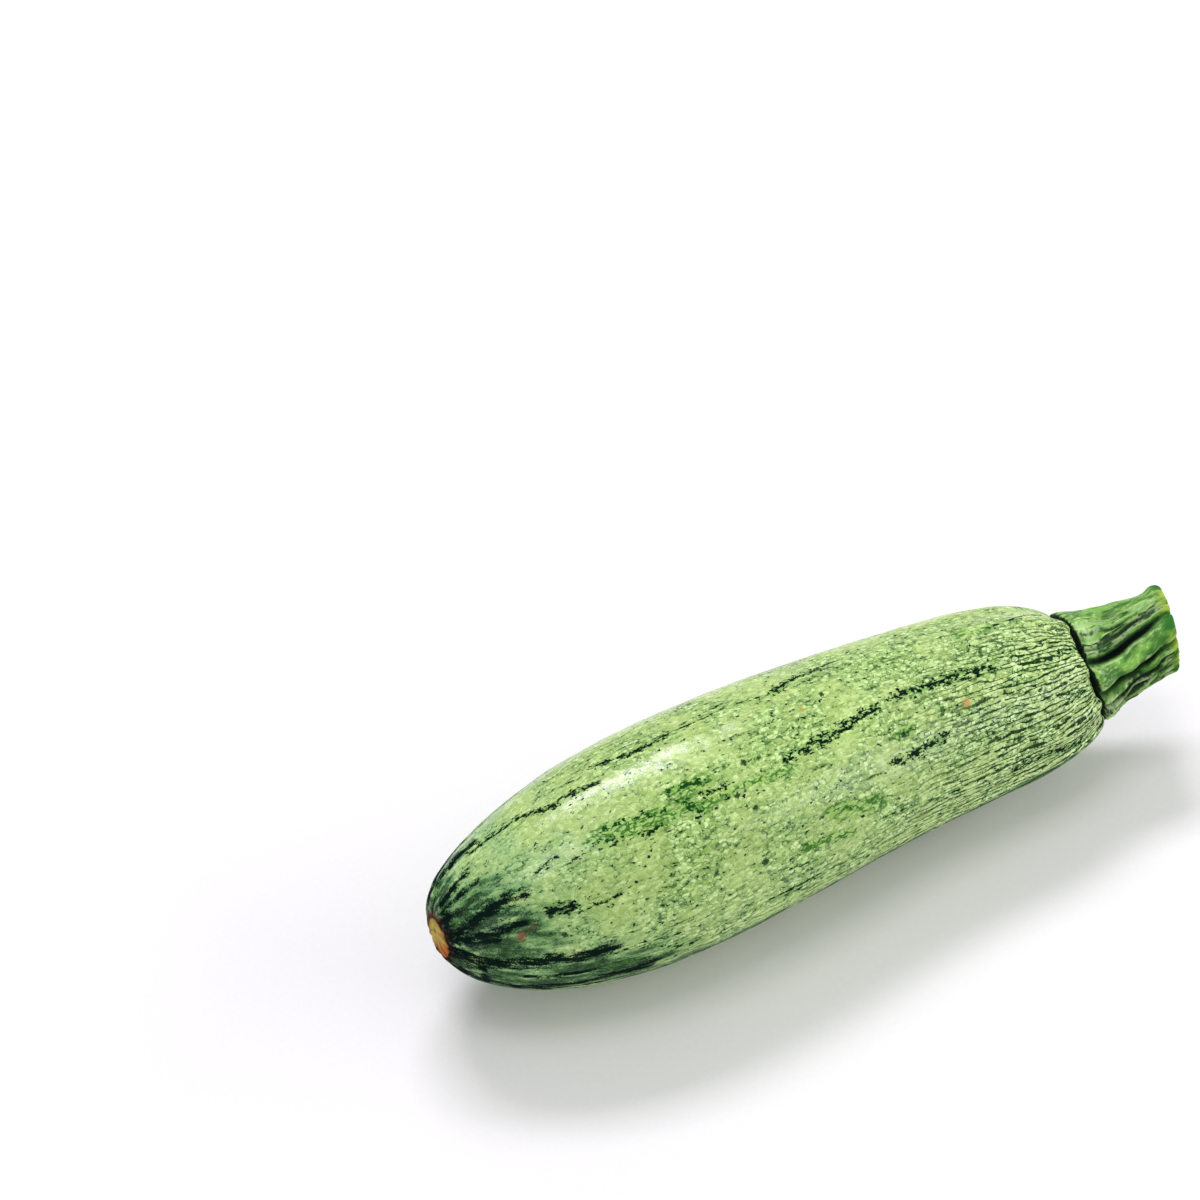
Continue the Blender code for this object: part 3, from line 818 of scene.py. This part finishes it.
# Colours of the stem.
STEM_DARK = (0.035, 0.15, 0.014)
STEM_LIGHT = (0.18, 0.41, 0.058)
FIBRE_PALE_AND_HIGHLIGHT = (0.33, 0.58, 0.13)
FIBRE_DARK = (0.02, 0.08, 0.012)
GRAIN_PALE = (0.42, 0.64, 0.22)
FLUTE_DARK = (0.008, 0.035, 0.008)
WRINKLE_SHADE = (0.004, 0.02, 0.006)
FOOT_PALE_AND_LIGHT = (0.50, 0.66, 0.30)
LIP_HIGHLIGHT = (0.46, 0.64, 0.30)
FURROW_SIDE_GREEN_AND_SHADE = (0.02, 0.08, 0.016)
FURROW_BOTTOM_SHADE = (0.002, 0.007, 0.005)
RIM_DARK = (0.02, 0.14, 0.006)
RIM_YELLOW = (0.30, 0.44, 0.03)
GRASS_GREEN = (0.008, 0.13, 0.006)
JOIN_LINE_AND_SHADE = (0.008, 0.02, 0.012)
CUT_FACE = (0.55, 0.56, 0.30)


def stem_material():
    material, tree, shader = new_material("stem_fibre")
    skin = read_attribute(tree, "skin", "Vector")
    furrow = read_attribute(tree, "furrow")
    share_up = read_attribute(tree, "share")
    fluted = read_attribute(tree, "fluted")
    fibre = cloudy(tree, stretched(tree, skin, (1.0, 1.0, 0.14)), 0.8, 4.0)
    mottle = cloudy(tree, stretched(tree, skin, (1.0, 1.0, 0.5)), 0.4, 3.0)
    grain = cloudy(tree, stretched(tree, skin, (1.0, 1.0, 0.6)), 1.6, 3.0)
    flute = maths(tree, "ABSOLUTE", read_attribute(tree, "flute"), 0.0)
    flute = maths(tree, "ADD", flute, centred(tree, grain, 0.4))
    fibrous = maths(tree, "ADD", product(tree, fluted, 0.8), 0.2)

    # Mottled green with paler and darker fibres, dark flutes, painted shade in the wrinkles, and a paler foot.
    colour = coated(tree, ramped(tree, mottle, 0.38, 0.62), STEM_DARK, STEM_LIGHT)
    # Pale fibres, partly a painted highlight along the ridges.
    colour = coated(tree, product(tree, ramped(tree, fibre, 0.50, 0.66), fibrous), colour, FIBRE_PALE_AND_HIGHLIGHT)
    colour = coated(tree, product(tree, ramped(tree, grain, 0.60, 0.72), 0.45), colour, GRAIN_PALE)
    colour = coated(tree, product(tree, ramped(tree, fibre, 0.44, 0.34), fibrous), colour, FIBRE_DARK)
    colour = coated(tree, product(tree, ramped(tree, flute, 0.30, 0.08), fluted), colour, FLUTE_DARK)
    wrinkle_shade = maths(tree, "ADD", read_attribute(tree, "wrinkle_shade"), centred(tree, fibre, 1.2))
    colour = coated(tree, product(tree, ramped(tree, wrinkle_shade, 0.5, 0.72), 0.95), colour, WRINKLE_SHADE)
    # The paler foot is partly pale stains and partly painted light against the shade of the crevice at the
    # join.
    foot = product(tree, ramped(tree, share_up, 0.30, 0.06), ramped(tree, grain, 0.42, 0.60), 0.35)
    colour = coated(tree, foot, colour, FOOT_PALE_AND_LIGHT)

    # Furrows: painted highlight on the lips, darker green and painted shade on the sides, black shade at the
    # bottom.
    groove = maths(tree, "ADD", furrow, centred(tree, grain, 0.15))
    lip_highlight = product(tree, ramped(tree, groove, 0.0, 0.03), ramped(tree, groove, 0.09, 0.05))
    lip_highlight = product(tree, lip_highlight, ramped(tree, mottle, 0.44, 0.56), 0.5)
    colour = coated(tree, lip_highlight, colour, LIP_HIGHLIGHT)
    colour = coated(tree, ramped(tree, groove, 0.09, 0.19), colour, FURROW_SIDE_GREEN_AND_SHADE)
    colour = coated(tree, ramped(tree, groove, 0.18, 0.27), colour, FURROW_BOTTOM_SHADE)

    # The rim is yellow and green, the join a dark line with painted shade of the crevice, and the cut face
    # pale.
    rim_colour = coated(tree, ramped(tree, mottle, 0.42, 0.58), RIM_DARK, RIM_YELLOW)
    colour = coated(tree, product(tree, ramped(tree, share_up, 0.86, 0.97), 0.8), colour, rim_colour)
    green = maths(tree, "ADD", read_attribute(tree, "green"), centred(tree, fibre, 0.9))
    colour = coated(tree, product(tree, ramped(tree, green, 0.25, 0.75), 0.95), colour, GRASS_GREEN)
    join_and_shade = maths(tree, "ADD", share_up, centred(tree, grain, 0.03))
    colour = coated(tree, ramped(tree, join_and_shade, 0.006, -0.008), colour, JOIN_LINE_AND_SHADE)
    colour = coated(tree, read_attribute(tree, "face"), colour, CUT_FACE)
    height = maths(tree, "ADD", fibre, product(tree, grain, 0.5))
    bump = add_node(tree, "Bump", {"Height": height, "Distance": 0.0004, "Strength": 0.9}).outputs["Normal"]
    roughness = ramped(tree, furrow, -0.6, 0.5)
    tree.links.new(colour, shader.inputs["Base Color"])
    tree.links.new(roughness, shader.inputs["Roughness"])
    tree.links.new(bump, shader.inputs["Normal"])
    shader.inputs["Specular IOR Level"].default_value = 0.22
    return material


stem.data.materials.append(stem_material())
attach(stem, "root")
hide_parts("stem")

# The table under it: a plain, pale, matt sheet.
TABLE_SIZE = 6
TABLE_DARK = (0.74, 0.74, 0.73)
TABLE_LIGHT = (0.78, 0.78, 0.77)
bpy.ops.object.select_all(action="DESELECT")
bpy.ops.mesh.primitive_plane_add(size=TABLE_SIZE)
table = bpy.context.object
table.name = table.data.name = "table"
sheet, tree, shader = new_material("pale_sheet")
speck = cloudy(tree, add_node(tree, "TexCoord", {}).outputs["Object"], 900.0)
tree.links.new(coated(tree, speck, TABLE_DARK, TABLE_LIGHT), shader.inputs["Base Color"])
shader.inputs["Roughness"].default_value = 0.9
shader.inputs["Specular IOR Level"].default_value = 0.2
table.data.materials.append(sheet)

# Light: a bright room with four soft boxes. One hangs overhead, one stands at each side in front, and the
# small one behind gives the long gloss.
GLOSS_TINT = (1.0, 0.94, 1.08)
ROOM_BRIGHTNESS = 0.55


def soft_box(name, place, size, power, tint=(1, 1, 1)):
    """An area light that faces the object."""
    bpy.ops.object.light_add(type="AREA", location=place)
    light = bpy.context.object
    light.name = light.data.name = name
    light.rotation_euler = Vector(place).to_track_quat("Z", "Y").to_euler()
    light.data.shape = "RECTANGLE"
    light.data.size, light.data.size_y = size
    light.data.energy = power
    light.data.color = tint


soft_box("ceiling", place=(-0.45, 0.0, 2.0), size=(0.8, 0.8), power=8.8)
soft_box("gloss", place=(0.10, 0.54, 0.83), size=(0.50, 0.20), power=6.1, tint=GLOSS_TINT)
soft_box("left", place=(-1.4, -0.9, 0.4), size=(0.8, 0.8), power=3.0)
soft_box("right", place=(1.7, -1.0, 0.7), size=(2.2, 1.2), power=25.0)
room = bpy.data.worlds.new("room")
room.use_nodes = True
room.node_tree.nodes["Background"].inputs["Color"].default_value = (1, 1, 1, 1)
room.node_tree.nodes["Background"].inputs["Strength"].default_value = ROOM_BRIGHTNESS
bpy.context.scene.world = room
bpy.context.scene.view_settings.view_transform = "Standard"

# The camera: in front and towards the blossom end, looking down at 45 degrees.
CAMERA_PLACE = (-0.2908, -0.4182, 0.587)
LOOKS_DOWN = math.radians(45)
TURNED = math.radians(-29.47)
HALF_VIEW = math.radians(10)
SENSOR_WIDTH = 36
bpy.ops.object.camera_add(location=CAMERA_PLACE, rotation=(math.pi / 2 - LOOKS_DOWN, 0, TURNED))
camera = bpy.context.object
camera.data.sensor_width = SENSOR_WIDTH
camera.data.lens = SENSOR_WIDTH / 2 / math.tan(HALF_VIEW)
bpy.context.scene.camera = camera
